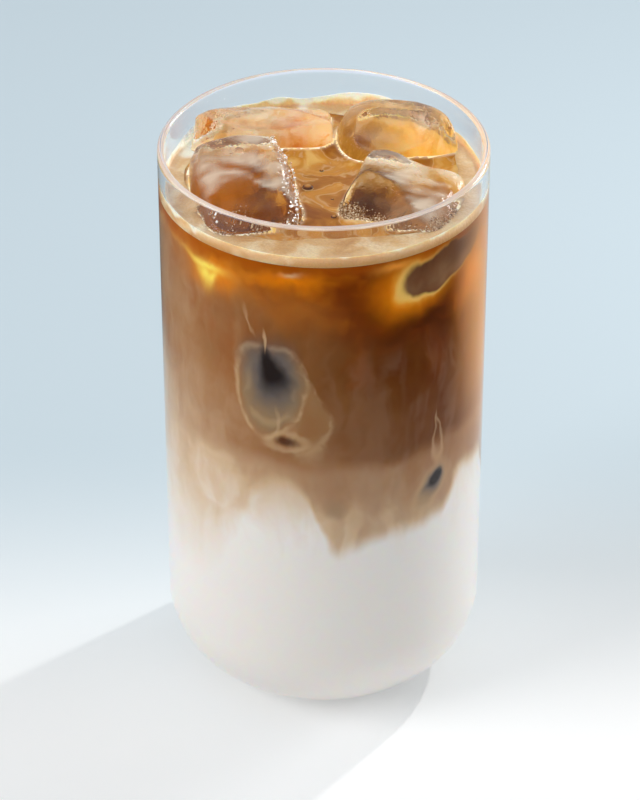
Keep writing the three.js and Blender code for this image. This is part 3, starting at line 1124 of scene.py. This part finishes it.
# Painted shade: the floor darkens further back, as the light falls off.
floor_colour = mixed(floor_back.between(-0.05, 0.09), FLOOR_NEAR, FLOOR_FAR_SHADE)
feed(floor_shader.inputs["Base Color"], floor_colour)

# Mirrored in the glass, the floor is dimmer further out, but less so behind on the right.
floor_path = add(floor_tree, "ShaderNodeLightPath", {}).outputs
mirrored = Field(floor_path["Is Glossy Ray"]) * (Field(floor_path["Is Transmission Ray"]) * -1 + 1)
floor_far = (floor_right ** 2 + floor_back ** 2) ** 0.5
bright_corner = floor_right.between(0.0, 0.05) * floor_back.between(0.01, 0.07)
mirrored = mirrored * floor_far.between(0.11, 0.19) * (bright_corner * -0.6 + 1)
dim_floor = add(floor_tree, "ShaderNodeBsdfDiffuse", {"Color": FLOOR_MIRRORED})
floor_look = add(
    floor_tree, "ShaderNodeMixShader", {0: mirrored, 1: floor_shader.outputs[0], 2: dim_floor.outputs[0]}
)
feed(floor_tree.nodes["Material Output"].inputs["Surface"], floor_look.outputs[0])
floor_shader.inputs["Roughness"].default_value = 0.7
floor_data.materials.append(floor_material)


# The light
# A lamp behind on the right throws the shadow forwards to the left. A wide soft box on the left, a low one
# behind on the right and a pale sky fill the rest.
SKY_COLOUR = paint(228, 234, 238)
SKY_STRENGTH = 0.66


def soft_box(name, angle, elevation, distance, width, power, colour):
    """An area lamp that faces the glass from an angle round it and an elevation, in degrees."""
    lamp = bpy.data.lights.new(name, "AREA")
    lamp.shape = "DISK"
    lamp.size = width
    lamp.energy = power
    lamp.color = colour
    made = bpy.data.objects.new(name, lamp)
    turn, lift = math.radians(angle), math.radians(elevation)
    towards = Vector((math.sin(turn) * math.cos(lift), -math.cos(turn) * math.cos(lift), math.sin(lift)))
    made.location = Vector((0, 0, GLASS_HEIGHT / 2)) + towards * distance
    made.rotation_euler = (-towards).to_track_quat("-Z", "Y").to_euler()
    bpy.context.scene.collection.objects.link(made)


soft_box("back_lamp", 136, 40, 0.42, 0.014, 0.46, (1.0, 0.98, 0.95))
soft_box("left_box", -75, 35, 1.3, 0.9, 8.6, (1.0, 0.99, 0.98))
soft_box("right_box", 124, 8, 1.3, 0.5, 9.0, (1.0, 1.0, 1.0))
world = bpy.data.worlds.new("pale_sky")
world.use_nodes = True
world.node_tree.nodes["Background"].inputs["Color"].default_value = SKY_COLOUR
world.node_tree.nodes["Background"].inputs["Strength"].default_value = SKY_STRENGTH
bpy.context.scene.world = world


# The camera
# It looks down at the drinker's side from a little over half a metre up.
CAMERA_PLACE = Vector((0, -685.77, 517.19)) * MM
CAMERA_AIM = Vector((-0.00103783, 0.83785218, -0.54589618))
CAMERA_LENS = 156.26
camera_data = bpy.data.cameras.new("camera")
camera_data.lens = CAMERA_LENS
camera_data.clip_start = 0.01
camera = bpy.data.objects.new("camera", camera_data)
camera.location = CAMERA_PLACE
camera.rotation_euler = CAMERA_AIM.to_track_quat("-Z", "Y").to_euler()
bpy.context.scene.collection.objects.link(camera)
bpy.context.scene.camera = camera
bpy.context.scene.view_settings.view_transform = "Standard"
cycles = bpy.context.scene.cycles
cycles.max_bounces = 32
cycles.glossy_bounces = 16
cycles.transmission_bounces = 32
cycles.transparent_max_bounces = 32
cycles.caustics_reflective = False
cycles.caustics_refractive = False
